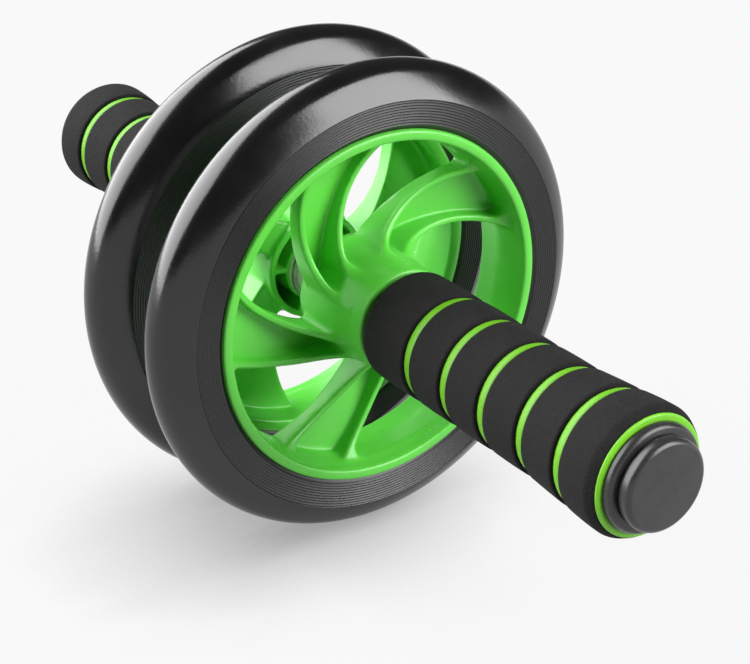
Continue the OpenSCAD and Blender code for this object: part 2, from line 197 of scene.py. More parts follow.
class RollerColours(bpy.types.PropertyGroup):
    hub_green: FloatVectorProperty(
        name="Hub", description="Colour of the hub's plastic", default=(0.11, 0.6, 0.055), subtype="COLOR",
        min=0, max=1,
    )
    liner_green: FloatVectorProperty(
        name="Liner", description="Colour of the grip's liner", default=(0.118, 0.375, 0.009),
        subtype="COLOR", min=0, max=1,
    )
    core_green: FloatVectorProperty(
        name="Core", description="Colour of the grip's core and its end flange", default=(0.17, 0.55, 0.015),
        subtype="COLOR", min=0, max=1,
    )
    tyre_black: FloatVectorProperty(
        name="Tyre", description="Colour of the tyre's rubber", default=(0.004, 0.004, 0.0045),
        subtype="COLOR", min=0, max=1,
    )
    foam_black: FloatVectorProperty(
        name="Foam", description="Colour of the foam bands", default=(0.0118, 0.0114, 0.0116),
        subtype="COLOR", min=0, max=1,
    )
    cap_black: FloatVectorProperty(
        name="Cap", description="Colour of the end caps", default=(0.024, 0.0232, 0.025), subtype="COLOR",
        min=0, max=1,
    )
    bush_cream: FloatVectorProperty(
        name="Bush", description="Colour of the bushes and the spacer", default=(0.68, 0.66, 0.58),
        subtype="COLOR", min=0, max=1,
    )
    steel_grey: FloatVectorProperty(
        name="Steel", description="Colour of the axle, washers, rings and screws",
        default=(0.62, 0.62, 0.64), subtype="COLOR", min=0, max=1,
    )


class RollerStageSettings(bpy.types.PropertyGroup):
    lens: FloatProperty(
        name="Lens", description="Focal length for a 36 mm wide picture", default=101.8,
        subtype="DISTANCE_CAMERA",
    )
    key_glow: FloatProperty(
        name="Key glow", description="Radiance of the tall softbox at the front right", default=8.5
    )
    back_glow: FloatProperty(
        name="Back glow", description="Radiance of the wide softbox behind the left wheel", default=4.9
    )
    room_glow: FloatProperty(
        name="Room glow", description="Radiance of the dim studio above the pale wall", default=0.09
    )
    wall_h: FloatProperty(
        name="Wall height", description="Height of the pale wall round the far edge of the floor",
        default=2.4, unit="LENGTH",
    )
    floor_white: FloatVectorProperty(
        name="Floor", description="Colour of the floor", default=(0.97, 0.97, 0.97), subtype="COLOR", min=0,
        max=1,
    )


# Outlines


def arc(centre, first, last, steps):
    """Points from first to last round centre, the short way, without the first."""
    centre, first, last = (np.array(p, float) for p in (centre, first, last))
    a0 = math.atan2(*(first - centre)[::-1])
    a1 = math.atan2(*(last - centre)[::-1])
    turn = (a1 - a0 + math.pi) % TAU - math.pi
    r0, r1 = np.linalg.norm(first - centre), np.linalg.norm(last - centre)
    return [
        centre + (r0 + (r1 - r0) * t) * np.array([math.cos(a0 + turn * t), math.sin(a0 + turn * t)])
        for t in (k / steps for k in range(1, steps + 1))
    ]


def unit(v):
    """The vector at length 1."""
    return v / np.linalg.norm(v)


def crossing(p, m, q, n):
    """Where circles of radius m round p and radius n round q cross, to the left of the line from p to q."""
    p, q = np.array(p, float), np.array(q, float)
    d = np.linalg.norm(q - p)
    u = (q - p) / d
    along = (m * m - n * n + d * d) / (2 * d)
    across = math.sqrt(m * m - along * along)
    return p + along * u + across * np.array([-u[1], u[0]])


def rounded(corners, steps=6):
    """Closed outline from (x, y, corner radius) rows."""
    out = []
    for i, (x, y, r) in enumerate(corners):
        p = np.array([x, y], float)
        if r <= 0:
            out.append(p)
            continue
        u = unit(np.array(corners[i - 1][:2], float) - p)
        v = unit(np.array(corners[(i + 1) % len(corners)][:2], float) - p)
        half = math.acos(float(np.clip(u @ v, -1, 1))) / 2
        back = r / math.tan(half)
        centre = p + unit(u + v) * r / math.sin(half)
        out.append(p + u * back)
        out += arc(centre, p + u * back, p + v * back, steps)
    return out


def subdivided(outline, step):
    """The closed outline with points added along each line that is longer than the step."""
    out = []
    for p, q in zip(outline, outline[1:] + outline[:1]):
        count = max(1, math.ceil(np.linalg.norm(q - p) / step))
        out += [p + (q - p) * k / count for k in range(count)]
    return out


# Distance fields

# A distance beyond all others, and a squared length that counts as nothing
FAR = 1e9
NO_LENGTH = 1e-12


def distance(x, y, outline):
    """Signed distance of the points to a closed outline, negative inside."""
    points = np.array(outline, float)
    best = np.full(x.shape, FAR)
    inside = np.zeros(x.shape, bool)
    for (ax, ay), (bx, by) in zip(points, np.roll(points, -1, axis=0)):
        ex, ey = bx - ax, by - ay
        length2 = ex * ex + ey * ey
        if length2 < NO_LENGTH:
            continue
        t = np.clip(((x - ax) * ex + (y - ay) * ey) / length2, 0, 1)
        best = np.minimum(best, (x - ax - t * ex) ** 2 + (y - ay - t * ey) ** 2)
        if ey:
            inside ^= ((ay > y) != (by > y)) & (x < ax + (y - ay) * ex / ey)
    return np.where(inside, -1, 1) * np.sqrt(best)


def both(a, b, r):
    """Where both fields are solid, with the edge between them rounded by r."""
    return np.minimum(np.maximum(a, b), -r) + np.hypot(np.maximum(a + r, 0), np.maximum(b + r, 0))


def either(a, b, r):
    """Where one of the fields is solid, with the corner between them filled by r."""
    return np.maximum(np.minimum(a, b), r) - np.hypot(np.maximum(r - a, 0), np.maximum(r - b, 0))


# Hub, drawn in millimetres and degrees, with heights that count towards the wheel's outer face

SPOKES = 5
HUB = SimpleNamespace(
    # Rim: height, inner radius and edge of its lips, its barrel, its outside, and the seat of the tyre's bead
    face=11.7, lip_in=56.4, lip_edge=1.1, barrel=55.2, rim=60, seat=57.5, bead=8.7, seat_edge=0.3,
    # Step at the barrel's parting line, and how much wider the barrel is at its back
    part_step=0.15, back_draft=0.4,
    # Boss: radii and heights of its face and back, their roundings, and its fillet to the spokes
    boss=17.6, boss_foot=18.3, boss_face=22.5, boss_back=-11, boss_edge=1.2, back_edge=0.8, boss_joint=1.2,
    # Pocket in the boss's back: radii, wall over it, corners, and the ribs that cross it
    pocket_in=11.8, pocket_out=16.1, pocket_wall=5, pocket_edge=0.8, pocket_rib_t=1.6, pocket_rib_foot=0.6,
    # Bore: radii of the bush's flange, the bush and the middle, lengths of flange and bush, and its edges
    flange=11, bush=9, mid_bore=7, flange_t=1.5, bush_len=12, bore_edge=0.3,
    # Arcs of the ribs: where their centres lie, their radius, and half the angle between a spoke's two ribs
    swirl_offset=49.8, swirl_r=59.3, half_spoke=13.5,
    # Windows and channels: inner and outer radius, and corners at the boss and the rim
    space_in=17.95, web=55.8, window_blunt=8, window_sharp=2.6, channel_blunt=3, channel_sharp=1.6, rib_end=3,
    # Dish of the rib tops, the bell-shaped flare up the boss, and how far the web runs into the rim
    dish_r=32.3, dish_low=38, dish_z=33.5, bell_r=13.5, bell=(31.1, 15.98), web_end=58.5,
    # Sloping floors of the channels: heights at the boss and the rim, and thickness
    floor_in=-5.9, floor_out=-1.1, floor_t=2,
)

# How far a cut runs past a face, where an outline that takes in the axis starts, and air round the grid
OVER = 3
PAST_AXIS = -5
RIM_AIR = 1
END_AIR = 2

# The field is cut off at this distance, and flatter parts of its surface get larger faces by this much
FIELD_LIMIT = 2.0
MERGED_FLAT = 0.04

# Newton steps that put the points on the rounded surface, and the limits that keep a step short
NEWTON_STEPS = 2
NEWTON_REACH = 0.5
LEAST_SLOPE2 = 1e-3


def swirl_space(a, b, rib_t, blunt_r, sharp_r):
    """Flat outline of the space between the rib arc at angle a and the next one, at angle b."""
    h = HUB
    p, q = (h.swirl_offset * np.array([math.cos(math.radians(t)), math.sin(math.radians(t))]) for t in (a, b))
    rib, next_rib = (p, h.swirl_r + rib_t / 2, 1), (q, h.swirl_r - rib_t / 2, -1)
    rows = [
        (h.space_in, blunt_r, *rib), (h.space_in, sharp_r, *next_rib),
        (h.web, -h.rib_end, *rib), (h.web, -h.rib_end, *next_rib),
    ]
    found = []
    for ring_r, r, centre, circle_r, side in rows:
        c = crossing((0, 0), ring_r + r, centre, circle_r + side * abs(r))
        found.append((c, ring_r * unit(c), centre + circle_r * unit(c - centre)))
    (ca, a1, a2), (cb, b1, b2), (cc, c1, c2), (cd, d1, d2) = found
    boss_steps, rim_steps, rib_steps, corner_steps = 12, 16, 24, 8
    return (
        [a1] + arc((0, 0), a1, b1, boss_steps) + arc(cb, b1, b2, corner_steps)
        + arc(q, b2, d2, rib_steps) + arc(cd, d2, d1, corner_steps)
        + arc((0, 0), d1, c1, rim_steps) + arc(cc, c1, c2, corner_steps)
        + arc(p, c2, a2, rib_steps) + arc(ca, a2, a1, corner_steps)
    )


def web_outline():
    """Lathe outline of all that lies between the spokes' backs and the dish of the rib tops."""
    h = HUB
    dish, bell = np.array([h.dish_low, h.dish_z]), np.array(h.bell)
    bell_end_r = h.dish_low - h.dish_r * (h.dish_low - bell[0]) / (h.dish_r - h.bell_r)

    def on_dish(r):
        return np.array([r, dish[1] - math.sqrt(h.dish_r ** 2 - (r - dish[0]) ** 2)])

    bell_top, bell_end, rim_end = bell - [h.bell_r, 0], on_dish(bell_end_r), on_dish(h.web_end)
    back_in, back_out = h.floor_in - h.floor_t, h.floor_out - h.floor_t
    bell_steps, dish_steps = 12, 32
    return (
        [np.array([h.bush, back_in]), np.array([h.bush, bell[1]]), bell_top]
        + arc(bell, bell_top, bell_end, bell_steps) + arc(dish, bell_end, rim_end, dish_steps)
        + [np.array(p) for p in ((h.web_end, back_out), (h.web, back_out), (h.space_in, back_in))]
    )


def rim_outline():
    """Lathe outline of the rim: its two lips, its barrel and the seat of the tyre's bead."""
    h = HUB
    return rounded([
        (h.barrel, h.part_step, 0), (h.lip_in, h.face, h.lip_edge), (h.rim, h.face, h.lip_edge),
        (h.rim, h.bead, h.seat_edge), (h.seat, h.bead, h.seat_edge), (h.seat, -h.bead, h.seat_edge),
        (h.rim, -h.bead, h.seat_edge), (h.rim, -h.face, h.lip_edge),
        (h.barrel + h.back_draft, -h.face, h.lip_edge), (h.barrel - h.part_step, -h.part_step, 0),
    ])


def boss_outline():
    """Lathe outline of the boss without its bore."""
    h = HUB
    return rounded([
        (PAST_AXIS, h.boss_back, 0), (PAST_AXIS, h.boss_face, 0), (h.boss, h.boss_face, h.boss_edge),
        (h.boss_foot, h.boss_back, h.back_edge),
    ])


def pocket_outline():
    """Lathe outline of the pocket between the boss's wall and the tube round the bush."""
    h = HUB
    low, high = h.boss_back - OVER, h.boss_face - h.pocket_wall
    return rounded([
        (h.pocket_in, low, 0), (h.pocket_in, high, h.pocket_edge), (h.pocket_out, high, h.pocket_edge),
        (h.pocket_out, low, 0),
    ])


def bore_outline():
    """Lathe outline of the bore, with a bush at each end and the outer bush's flange let in."""
    h = HUB
    low, high, flange_z = h.boss_back - OVER, h.boss_face + OVER, h.boss_face - h.flange_t
    outer_z, inner_z = flange_z - h.bush_len, h.boss_back + h.bush_len
    return [
        (PAST_AXIS, low), (PAST_AXIS, high), (h.flange, high), (h.flange, flange_z), (h.bush, flange_z),
        (h.bush, outer_z), (h.mid_bore, outer_z), (h.mid_bore, inner_z), (h.bush, inner_z), (h.bush, low),
    ]


def spoke_fields(x, y, rib_t):
    """Distances, seen along the axle, to the windows, the channels and the ribs of the boss's pocket."""
    h = HUB
    window = swirl_space(h.half_spoke, 360 / SPOKES - h.half_spoke, rib_t, h.window_blunt, h.window_sharp)
    channel = swirl_space(-h.half_spoke, h.half_spoke, rib_t, h.channel_blunt, h.channel_sharp)
    windows, channels, ribs = (np.full(x.shape, FAR) for _ in range(3))
    for k in range(SPOKES):
        t = TAU * k / SPOKES
        xr, yr = x * math.cos(t) + y * math.sin(t), y * math.cos(t) - x * math.sin(t)
        windows = np.minimum(windows, distance(xr, yr, window))
        channels = np.minimum(channels, distance(xr, yr, channel))
        ribs = np.minimum(ribs, np.maximum(np.abs(yr) - h.pocket_rib_t / 2, -xr))
    return windows, channels, ribs


def hub_field(step, rib_t, edge_r, foot_r, joint_r):
    """Distance field of a hub on a grid, and the grid's lowest corner."""
    h = HUB
    side = h.rim + RIM_AIR
    across = np.arange(-side, side + step / 2, step)
    up = np.arange(h.boss_back - END_AIR, h.boss_face + END_AIR + step / 2, step)
    x, y = np.meshgrid(across, across, indexing="ij")
    r = np.hypot(x, y)
    table_r = np.arange(0, math.hypot(side, side) + END_AIR, step / 2)
    rt, zt = np.meshgrid(table_r, up, indexing="ij")

    def turned(table):
        return np.stack(
            [np.interp(r, table_r, table[:, k]) for k in range(len(up))], axis=2
        ).astype(np.float32)

    def lathed(outline):
        return turned(distance(rt, zt, outline))

    def flat(field):
        return field[:, :, None].astype(np.float32)

    slope = (h.floor_out - h.floor_in) / (h.web - h.space_in)
    above_floor = turned((zt - h.floor_in - (rt - h.space_in) * slope) * math.cos(math.atan(slope)))
    windows, channels, ribs = spoke_fields(x, y, rib_t)
    body = both(lathed(web_outline()), -flat(windows), edge_r)
    body = both(body, -both(flat(channels), -above_floor, foot_r), edge_r)
    body = either(body, lathed(rim_outline()), joint_r)
    body = either(body, lathed(boss_outline()), h.boss_joint)
    body = both(body, -both(lathed(pocket_outline()), -flat(ribs), h.pocket_rib_foot), h.bore_edge)
    body = both(body, -lathed(bore_outline()), h.bore_edge)
    return body, np.array([across[0], across[0], up[0]])


def at_points(field, points):
    """Value and slope of a grid field at points given in grid steps."""
    cell = np.clip(np.floor(points).astype(int), 0, np.array(field.shape) - 2)
    value, slope = np.zeros(len(points)), np.zeros(points.shape)
    for corner in np.ndindex(2, 2, 2):
        weights = np.where(corner, points - cell, cell + 1 - points)
        found = field[tuple((cell + corner).T)]
        value += found * weights.prod(axis=1)
        for axis in range(3):
            others = np.delete(weights, axis, axis=1).prod(axis=1)
            slope[:, axis] += found * others * (2 * corner[axis] - 1)
    return value, slope


def hub_mesh(wheel):
    """The hub's surface: points in metres, and its faces."""
    step = wheel.grid_step / MM
    field, corner = hub_field(
        step, wheel.rib_t / MM, wheel.rib_edge_r / MM, wheel.rib_foot_r / MM, wheel.joint_r / MM
    )
    grid = openvdb.FloatGrid(FIELD_LIMIT)
    grid.copyFromArray(np.clip(field, -FIELD_LIMIT, FIELD_LIMIT).astype(np.float32))
    points, triangles, quads = grid.convertToPolygons(isovalue=0.0, adaptivity=MERGED_FLAT)
    points = points.astype(float)
    for _ in range(NEWTON_STEPS):
        value, gradient = at_points(field, points)
        slope2 = np.maximum((gradient ** 2).sum(axis=1), LEAST_SLOPE2)
        points -= gradient * np.clip(value / slope2, -NEWTON_REACH, NEWTON_REACH)[:, None]
    return (points * step + corner) * MM, [tuple(f) for f in triangles] + [tuple(f) for f in quads]


# Meshes and places


def side_matrix(side, wheel_turn=0):
    """Lays a piece that is drawn along Z onto the axle, pointing to its side."""
    return (
        Matrix.Rotation(math.radians(SIDES[side][0]), 4, "Z")
        @ Matrix.Rotation(math.radians(90), 4, "X")
        @ Matrix.Rotation(math.radians(wheel_turn), 4, "Z")
    )


def wheel_matrix(side, wheel_turn=0):
    """Lays a piece that is drawn round the middle of a wheel onto its side of the axle."""
    middle = (start(side + "_tyre") + reach(side + "_tyre")) / 2
    return side_matrix(side, wheel_turn) @ Matrix.Translation((0, 0, middle))


def show(mesh, name, matrix, body, slot, *nodes):
    """Puts a finished mesh in the scene, in place of its CAD nodes, on its body."""
    mesh.name = name
    mesh.transform(matrix)
    piece = bpy.data.objects.new(name, mesh)
    bpy.context.scene.collection.objects.link(piece)
    mesh.materials.clear()
    mesh.materials.append(finish_of(slot))
    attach(piece, body)
    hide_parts(*nodes)


def clockwise(profile):
    """The profile (radius, height) in the order that turns the lathe's faces outwards."""
    p = np.array(profile, float)
    q = np.roll(p, -1, axis=0)
    area = (p[:, 0] * q[:, 1] - q[:, 0] * p[:, 1]).sum()
    return p[::-1] if area > 0 else p


def lathe_tree():
    """Tree that turns a profile, whose X is a distance from the centre radius and whose Y points back."""
    tree = bpy.data.node_groups.get("turned_piece")
    if tree is not None:
        return tree
    tree = bpy.data.node_groups.new("turned_piece", "GeometryNodeTree")
    inputs = {"Geometry": "Geometry", "Centre radius": "Float", "Segments": "Int", "Material": "Material"}
    for label, kind in inputs.items():
        tree.interface.new_socket(label, in_out="INPUT", socket_type="NodeSocket" + kind)
    tree.interface.new_socket("Geometry", in_out="OUTPUT", socket_type="NodeSocketGeometry")
    given, curve, circle, sweep, merge, smooth, real, paint, result = (
        tree.nodes.new(kind) for kind in (
            "NodeGroupInput", "GeometryNodeMeshToCurve", "GeometryNodeCurvePrimitiveCircle",
            "GeometryNodeCurveToMesh", "GeometryNodeMergeByDistance", "GeometryNodeSetShadeSmooth",
            "GeometryNodeRealizeInstances", "GeometryNodeSetMaterial", "NodeGroupOutput",
        )
    )
    merge.inputs["Distance"].default_value = JOIN_DISTANCE
    links = [
        (given, "Geometry", curve, "Mesh"), (given, "Centre radius", circle, "Radius"),
        (given, "Segments", circle, "Resolution"), (circle, "Curve", sweep, "Curve"),
        (curve, "Curve", sweep, "Profile Curve"), (sweep, "Mesh", merge, "Geometry"),
        (merge, "Geometry", smooth, "Geometry"), (smooth, "Geometry", real, "Geometry"),
        (real, "Geometry", paint, "Geometry"), (given, "Material", paint, "Material"),
        (paint, "Geometry", result, "Geometry"),
    ]
    for node, output, next_node, socket in links:
        tree.links.new(node.outputs[output], next_node.inputs[socket])
    return tree


def turned_piece(profile, material, steps=GRIP_STEPS, closed=True, centre_r=GRIP_CENTRE_R):
    """Sweeps a profile round the axle with the turning tree, and returns the plain mesh that it makes."""
    tree = lathe_tree()
    profile = clockwise(profile)
    mesh = bpy.data.meshes.new("profile")
    count = len(profile)
    edges = [(k, k + 1) for k in range(count - 1)] + ([(count - 1, 0)] if closed else [])
    mesh.from_pydata([(r - centre_r, -z, 0) for r, z in profile], edges, [])
    holder = bpy.data.objects.new("profile", mesh)
    bpy.context.scene.collection.objects.link(holder)
    modifier = holder.modifiers.new("grow", "NODES")
    modifier.node_group = tree
    values = {"Centre radius": centre_r, "Segments": steps, "Material": material}
    for item in tree.interface.items_tree:
        if item.item_type == "SOCKET" and item.in_out == "INPUT" and item.name in values:
            modifier[item.identifier] = values[item.name]
    made = bpy.data.meshes.new_from_object(holder.evaluated_get(bpy.context.evaluated_depsgraph_get()))
    bpy.data.objects.remove(holder)
    bpy.data.meshes.remove(mesh)
    if not made.polygons:
        raise RuntimeError("a profile made no faces")
    return made


def show_grip_piece(side, ending, slot, node, profile, closed=True):
    """Turns a piece of a grip and puts it in the scene, in place of its CAD node."""
    mesh = turned_piece(profile, finish_of(slot), closed=closed)
    show(mesh, f"{side}_{ending}", side_matrix(side), "axle_and_grips", slot, node)


# Profiles


def offsets(r, z, *steps):
    """Points near (r, z), from offsets in millimetres."""
    return [(r + dr * MM, z + dz * MM) for dr, dz in steps]


def tyre_profile(wheel):
    """Closed profile of a tyre: bead, open grooves, ringed sides, flat shoulders and the round crown."""
    seat_r, bead_z, rim_r = HUB.seat * MM, HUB.bead * MM, HUB.rim * MM
    groove_w, groove_depth, side_inset, shoulder_step = 1.3 * MM, 1.2 * MM, 0.4 * MM, 0.3 * MM
    side_r, side_z = rim_r + groove_w, HUB.face * MM - side_inset
    shoulder_r, shoulder_z = side_r + wheel.ring_count * wheel.ring_pitch, side_z + shoulder_step
    centre = np.array([wheel.tread_r - wheel.crown_r, 0])
    lean = math.atan2(shoulder_r - centre[0], shoulder_z)
    lean += math.acos(wheel.crown_r / math.hypot(shoulder_z, shoulder_r - centre[0]))
    ring_points, ring_fullness, crown_points = 10, 0.7, 22
    half = [(seat_r, bead_z), (rim_r, bead_z)]
    half += offsets(rim_r, side_z - groove_depth, (0, 0), (0.2, -0.05))
    half += offsets(side_r, side_z, (-0.25, -0.3), (0, -0.02))
    for ring in range(wheel.ring_count):
        for t in np.linspace(0.05, 0.95, ring_points):
            rise = (0.5 - 0.5 * math.cos(TAU * t)) ** ring_fullness
            half.append((side_r + (ring + t) * wheel.ring_pitch, side_z + wheel.ring_h * rise))
    half.append((shoulder_r, side_z))
    half += offsets(shoulder_r, shoulder_z, (0.05, -0.08), (0.16, 0), (0.4, -0.01))
    half += [
        tuple(centre + wheel.crown_r * np.array([math.sin(a), math.cos(a)]))
        for a in np.linspace(lean, math.pi / 2, crown_points)
    ]
    return half + [(r, -z) for r, z in reversed(half[:-1])]


def foam_reach(grip, z):
    """Radius over the foam at a height: even along most of the grip, and flared towards its end."""
    t = np.clip(1 - (FOAM_END - z) / grip.flare_len, 0, 1)
    return grip.foam_r + grip.flare * t * t * (3 - 2 * t)


def liner_reach(grip, z):
    """Radius over the liner at a height. It follows the foam, but not the end of its flare, and has beads."""
    swell = sum(np.sqrt(np.clip(1 - ((2 * z - a - b) / (b - a)) ** 2, 0, 1)) for a, b in BAND_GAPS)
    even_from = FOAM_END - 14 * MM
    return foam_reach(grip, np.minimum(z, even_from)) - grip.band_t + grip.bead * swell


def liner_profile(grip, liner):
    """Closed profile of a liner, with its beads."""
    z0, z1, body_points, bead_points = start(liner), reach(liner), 60, 13
    heights = [np.linspace(z0, z1, body_points)] + [np.linspace(*gap, bead_points) for gap in BAND_GAPS]
    outside = [(liner_reach(grip, z), z) for z in np.unique(np.concatenate(heights))[::-1]]
    return [(CORE_R, z0), (CORE_R, z1)] + outside


def core_profile(core, foam_z):
    """Closed profile of a grip's core: its tube, its flange outside the foam and its chamber."""
    z0, z1, flange_r = start(core), reach(core), radius(core)
    chamber_z = z1 - CHAMBER_DEPTH
    return rounded([
        (CORE_BORE_R, z0, 0), (CORE_R, z0, 0), (CORE_R, foam_z, 0), (flange_r, foam_z, 0),
        (flange_r, z1, CORE_EDGE_R), (CHAMBER_R, z1, 0), (CHAMBER_R, chamber_z, 0),
        (CORE_BORE_R, chamber_z, 0),
    ])


def band_profile(grip, band):
    """Closed profile of a foam band. The first closes over the liner, and the last draws in at its end."""
    tuck, point_step, outer_from, edge_steps = 0.3 * MM, 1.2 * MM, 0.05 * MM, 8
    z0, z1, edge = start(band), reach(band), grip.band_edge_r
    inner = min(liner_reach(grip, z0), liner_reach(grip, z1)) - tuck
    first, last = z0 < FOAM_START + edge, z1 > FOAM_END - edge
    z0 += 0 if first else grip.gap_more
    z1 -= 0 if last else grip.gap_more
    r0, r1 = foam_reach(grip, z0), foam_reach(grip, z1)
    corners = [(inner, z0, 0), (inner, z1, 0)]
    if first:
        nose_in, wall_z = CORE_R + LOOSE_FIT, start("right_foam_liner")
        corners = [(nose_in, z0, 0), (nose_in, wall_z, 0), (inner, wall_z, 0), (inner, z1, 0)]
    drawn = 2 * grip.end_draw if last else 0
    if last:
        corners += [(r1 - grip.end_draw, z1, edge), (r1, z1 - drawn, drawn)]
    else:
        corners.append((r1, z1, edge))
    corners.append((r0, z0, grip.nose_r if first else edge))
    full = []
    for r, z in subdivided(rounded(corners, edge_steps), point_step):
        if r > inner + outer_from:
            line = np.interp(z, (z0, z1 - drawn), (r0, r1))
            r += foam_reach(grip, z) - line - grip.band_crown * (2 * (z - z0) / (z1 - z0) - 1) ** 2
        full.append((r, z))
    return full


def cap_profile(cap, seat):
    """Open profile of an end cap from axis to axis: plug, flange on its seat, neck and button."""
    flange_r, neck_r, button_r = 17 * MM, 13.4 * MM, 14.2 * MM
    plug_r, edge, foot, shoulder, button_edge = CHAMBER_R - LOOSE_FIT, 0.5 * MM, 0.2 * MM, 1.6 * MM, 1.8 * MM
    plug_z, flange_z, neck_z, end = start(cap), seat + 3 * MM, seat + 3.7 * MM, reach(cap)
    return rounded([
        (0, plug_z, 0), (plug_r, plug_z, edge), (plug_r, seat, 0), (flange_r, seat, edge),
        (flange_r - 0.4 * MM, flange_z - 0.3 * MM, shoulder), (neck_r, flange_z, foot),
        (neck_r, neck_z, foot), (button_r, neck_z, 0.4 * MM), (button_r, end, button_edge), (0, end, 0),
    ], 8)


# Materials

# Most of a noise's values lie in this span
NOISE_SPAN = (0.3, 0.7)

# The tyre's satin side band ends between these distances from the axle
SATIN_END = (69.2 * MM, 69.8 * MM)

# Painted floor shadow: how near a thing has to be for an occlusion test to dim the floor's white glow, and
# the way that the test leans
PAINTED_SHADOW_REACH = 0.07
PAINTED_SHADOW_LEAN = {"X": 0.6, "Y": 0.1, "Z": 0.79}


def shade(colour, factor):
    """The colour made lighter or darker by a factor."""
    return tuple(min(1, c * factor) for c in colour)


class Look:
    """A material in the making, whose patterns follow the object's own coordinates."""

    def __init__(self, name, colour, roughness, **sockets):
        self.material = bpy.data.materials.new(name)
        self.material.use_nodes = True
        self.material.diffuse_color = (*colour, 1)
        self.colour = colour
        self.tree = self.material.node_tree
        self.shader = self.tree.nodes["Principled BSDF"]
        self.surface(Base_Color=(*colour, 1), Roughness=roughness, **sockets)
        self.place = self.node("ShaderNodeTexCoord").outputs["Object"]

    def feed(self, socket, value):
        """Links another node's output to the socket, or puts a plain value on it."""
        if isinstance(value, bpy.types.NodeSocket):
            self.tree.links.new(value, socket)
        else:
            socket.default_value = value

    def surface(self, **sockets):
        """Feeds the shader's own sockets, and returns the material."""
        for label, value in sockets.items():
            self.feed(self.shader.inputs[label.replace("_", " ")], value)
        return self.material

    def node(self, kind, **values):
        """New node. Each value goes to the attribute or the input socket of that name."""
        made = self.tree.nodes.new(kind)
        for label, value in values.items():
            if hasattr(made, label):
                setattr(made, label, value)
            else:
                self.feed(made.inputs[label], value)
        return made

    def noise(self, scale, detail=2.0, roughness=0.5):
        """Cloudy pattern with about so many clouds in a metre."""
        made = self.node(
            "ShaderNodeTexNoise", Vector=self.place, Scale=scale, Detail=detail, Roughness=roughness
        )
        return made.outputs["Fac"]

    def math(self, operation, a, b):
        """Result of an operation on two outputs or numbers."""
        made = self.node("ShaderNodeMath", operation=operation)
        self.feed(made.inputs[0], a)
        self.feed(made.inputs[1], b)
        return made.outputs["Value"]

    def spread(self, value, result, span=NOISE_SPAN):
        """Number that goes over the result's range as the value goes over the span."""
        made = self.node("ShaderNodeMapRange", Value=value)
        for label, number in zip(("From Min", "From Max", "To Min", "To Max"), (*span, *result)):
            self.feed(made.inputs[label], number)
        return made.outputs["Result"]

    def tint(self, value, factors, span=NOISE_SPAN):
        """Shades of the colour, from the first factor to the second as the value goes over the span."""
        made = self.node("ShaderNodeValToRGB", Fac=value)
        first, last = made.color_ramp.elements
        first.position, last.position = span
        first.color, last.color = ((*shade(self.colour, factor), 1) for factor in factors)
        return made.outputs["Color"]

    def bump(self, height, strength, depth, before=None):
        """Normal of a surface that the height raises by up to depth, on top of the bump before."""
        made = self.node("ShaderNodeBump", Height=height, Strength=strength, Distance=depth)
        if before is not None:
            self.feed(made.inputs["Normal"], before)
        return made.outputs["Normal"]

    def axle_distance(self):
        """How far a point is from the axle."""
        split = self.node("ShaderNodeSeparateXYZ", Vector=self.place).outputs
        flat = self.node("ShaderNodeCombineXYZ", X=split["X"], Z=split["Z"]).outputs["Vector"]
        length = self.node("ShaderNodeVectorMath", operation="LENGTH", Vector=flat)
        return length.outputs["Value"]


def tyre_rubber(colour):
    """Glossy moulded rubber whose ringed side band is satin."""
    look = Look("tyre_rubber", colour, 0.2, Specular_IOR_Level=0.6)
    dust = look.noise(scale=55, detail=5, roughness=0.6)
    satin = look.spread(look.axle_distance(), (0.42, 0.19), SATIN_END)
    dull = look.spread(dust, (-0.03, 0.04))
    wave = look.bump(look.noise(scale=34, detail=1), strength=0.35, depth=0.6 * MM)
    return look.surface(
        Base_Color=look.tint(dust, (0.8, 1.5), (0.3, 0.8)),
        Roughness=look.math("ADD", satin, dull),
        Normal=look.bump(look.noise(scale=900), strength=0.12, depth=0.2 * MM, before=wave),
    )


def hub_plastic(colour):
    """Smooth injection-moulded plastic with a soft mottle."""
    look = Look("hub_plastic", colour, 0.33)
    skin = look.bump(look.noise(scale=60, detail=1), strength=0.15, depth=0.5 * MM)
    return look.surface(
        Base_Color=look.tint(look.noise(scale=45, detail=3), (0.93, 1.06), (0.3, 0.75)),
        Roughness=look.spread(look.noise(scale=160, detail=3), (0.28, 0.38)),
        Normal=look.bump(look.noise(scale=1400), strength=0.06, depth=0.1 * MM, before=skin),
    )


def liner_foam(colour):
    """Dense foam with a smooth, satin skin."""
    look = Look("liner_foam", colour, 0.45, Specular_IOR_Level=0.35)
    cells = look.noise(scale=1500, detail=4, roughness=0.7)
    return look.surface(
        Base_Color=look.tint(cells, (0.85, 1.1)),
        Roughness=look.spread(cells, (0.36, 0.52)),
        Normal=look.bump(cells, strength=0.2, depth=0.1 * MM),
    )


def core_plastic(colour):
    """Satin plastic of the grip's core."""
    look = Look("core_plastic", colour, 0.4)
    mottle = look.noise(scale=120, detail=3)
    return look.surface(
        Base_Color=look.tint(mottle, (0.92, 1.05)),
        Roughness=look.spread(mottle, (0.34, 0.46)),
        Normal=look.bump(look.noise(scale=1200), strength=0.1, depth=0.1 * MM),
    )


